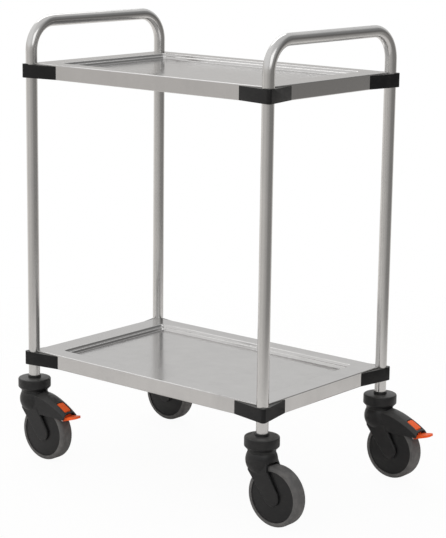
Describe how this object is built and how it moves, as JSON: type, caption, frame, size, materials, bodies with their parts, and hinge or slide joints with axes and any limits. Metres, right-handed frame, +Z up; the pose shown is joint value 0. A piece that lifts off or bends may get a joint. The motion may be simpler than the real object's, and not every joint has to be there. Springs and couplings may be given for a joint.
{
  "type": "service cart",
  "caption": "Steel service cart with pressed tray shelves in tube hoops that form the push bars, black corner pads, and swivel casters with brake levers.",
  "frame": {"origin": "on the floor under the middle of the whole cart's box, brake levers included", "axes": "+Z up, +X along the shelves to the end where the brake levers point, +Y from the front side to the back side"},
  "size_m": [0.8182, 0.482, 0.975],
  "materials": {
    "tube_steel": "satin polished along the tube",
    "tray_steel": "satin, fine grain along the tray",
    "bracket_steel": "plain sheet",
    "screw_steel": "bright",
    "bolt_steel": "zinc plated",
    "bearing_steel": "ground",
    "pad_plastic": "fine moulded texture",
    "caster_plastic": "fine moulded texture",
    "hub_plastic": "fine moulded texture",
    "plug_plastic": "plain moulded",
    "tread_rubber": "smooth grey rubber",
    "lever_plastic": "orange, slight sheen"
  },
  "bodies": {
    "frame": {"hoop_left": "tube_steel", "hoop_right": "tube_steel", "upper_shelf": "tray_steel", "pad_upper_front_left": "pad_plastic", "pad_upper_front_right": "pad_plastic", "pad_upper_back_left": "pad_plastic", "pad_upper_back_right": "pad_plastic", "upper_corner_brackets": "bracket_steel", "upper_shelf_screws": "screw_steel", "lower_shelf": "tray_steel", "pad_lower_front_left": "pad_plastic", "pad_lower_front_right": "pad_plastic", "pad_lower_back_left": "pad_plastic", "pad_lower_back_right": "pad_plastic", "lower_corner_brackets": "bracket_steel", "lower_shelf_screws": "screw_steel", "caster_collar_front_left": "caster_plastic", "stem_front_left": "bolt_steel", "tube_plug_front_left": "plug_plastic", "caster_collar_front_right": "caster_plastic", "stem_front_right": "bolt_steel", "tube_plug_front_right": "plug_plastic", "caster_collar_back_left": "caster_plastic", "stem_back_left": "bolt_steel", "tube_plug_back_left": "plug_plastic", "caster_collar_back_right": "caster_plastic", "stem_back_right": "bolt_steel", "tube_plug_back_right": "plug_plastic"},
    "fork_body_front_left": {"swivel_bearing_front_left": "bearing_steel", "axle_front_left": "bolt_steel", "fork_front_left": "caster_plastic", "pedal_pin_front_left": "bolt_steel"},
    "wheel_body_front_left": {"wheel_tread_front_left": "tread_rubber", "wheel_hub_front_left": "hub_plastic", "wheel_bearings_front_left": "bearing_steel"},
    "brake_body_front_left": {"pedal_front_left": "lever_plastic", "brake_shoe_front_left": "plug_plastic"},
    "fork_body_front_right": {"swivel_bearing_front_right": "bearing_steel", "axle_front_right": "bolt_steel", "fork_front_right": "caster_plastic"},
    "wheel_body_front_right": {"wheel_tread_front_right": "tread_rubber", "wheel_hub_front_right": "hub_plastic", "wheel_bearings_front_right": "bearing_steel"},
    "fork_body_back_left": {"swivel_bearing_back_left": "bearing_steel", "axle_back_left": "bolt_steel", "fork_back_left": "caster_plastic"},
    "wheel_body_back_left": {"wheel_tread_back_left": "tread_rubber", "wheel_hub_back_left": "hub_plastic", "wheel_bearings_back_left": "bearing_steel"},
    "fork_body_back_right": {"swivel_bearing_back_right": "bearing_steel", "axle_back_right": "bolt_steel", "fork_back_right": "caster_plastic", "pedal_pin_back_right": "bolt_steel"},
    "wheel_body_back_right": {"wheel_tread_back_right": "tread_rubber", "wheel_hub_back_right": "hub_plastic", "wheel_bearings_back_right": "bearing_steel"},
    "brake_body_back_right": {"pedal_back_right": "lever_plastic", "brake_shoe_back_right": "plug_plastic"}
  },
  "joints": [
    {"name": "swivel_front_left", "type": "hinge", "parent": "frame", "child": "fork_body_front_left", "pos_m": [-0.3731, -0.205, 0.147], "axis": [0, 0, 1], "continuous": true},
    {"name": "wheel_spin_front_left", "type": "hinge", "parent": "fork_body_front_left", "child": "wheel_body_front_left", "pos_m": [-0.3331, -0.205, 0.0625], "axis": [0, 1, 0], "continuous": true},
    {"name": "brake_lever_front_left", "type": "hinge", "parent": "fork_body_front_left", "child": "brake_body_front_left", "pos_m": [-0.2811, -0.205, 0.11099], "axis": [0, 1, 0], "range_deg": [0, 14]},
    {"name": "swivel_front_right", "type": "hinge", "parent": "frame", "child": "fork_body_front_right", "pos_m": [0.2729, -0.205, 0.147], "axis": [0, 0, 1], "continuous": true},
    {"name": "wheel_spin_front_right", "type": "hinge", "parent": "fork_body_front_right", "child": "wheel_body_front_right", "pos_m": [0.3129, -0.205, 0.0625], "axis": [0, 1, 0], "continuous": true},
    {"name": "swivel_back_left", "type": "hinge", "parent": "frame", "child": "fork_body_back_left", "pos_m": [-0.3731, 0.205, 0.147], "axis": [0, 0, 1], "continuous": true},
    {"name": "wheel_spin_back_left", "type": "hinge", "parent": "fork_body_back_left", "child": "wheel_body_back_left", "pos_m": [-0.3331, 0.205, 0.0625], "axis": [0, 1, 0], "continuous": true},
    {"name": "swivel_back_right", "type": "hinge", "parent": "frame", "child": "fork_body_back_right", "pos_m": [0.2729, 0.205, 0.147], "axis": [0, 0, 1], "continuous": true},
    {"name": "wheel_spin_back_right", "type": "hinge", "parent": "fork_body_back_right", "child": "wheel_body_back_right", "pos_m": [0.3129, 0.205, 0.0625], "axis": [0, 1, 0], "continuous": true},
    {"name": "brake_lever_back_right", "type": "hinge", "parent": "fork_body_back_right", "child": "brake_body_back_right", "pos_m": [0.3649, 0.205, 0.11099], "axis": [0, 1, 0], "range_deg": [0, 14]}
  ]
}
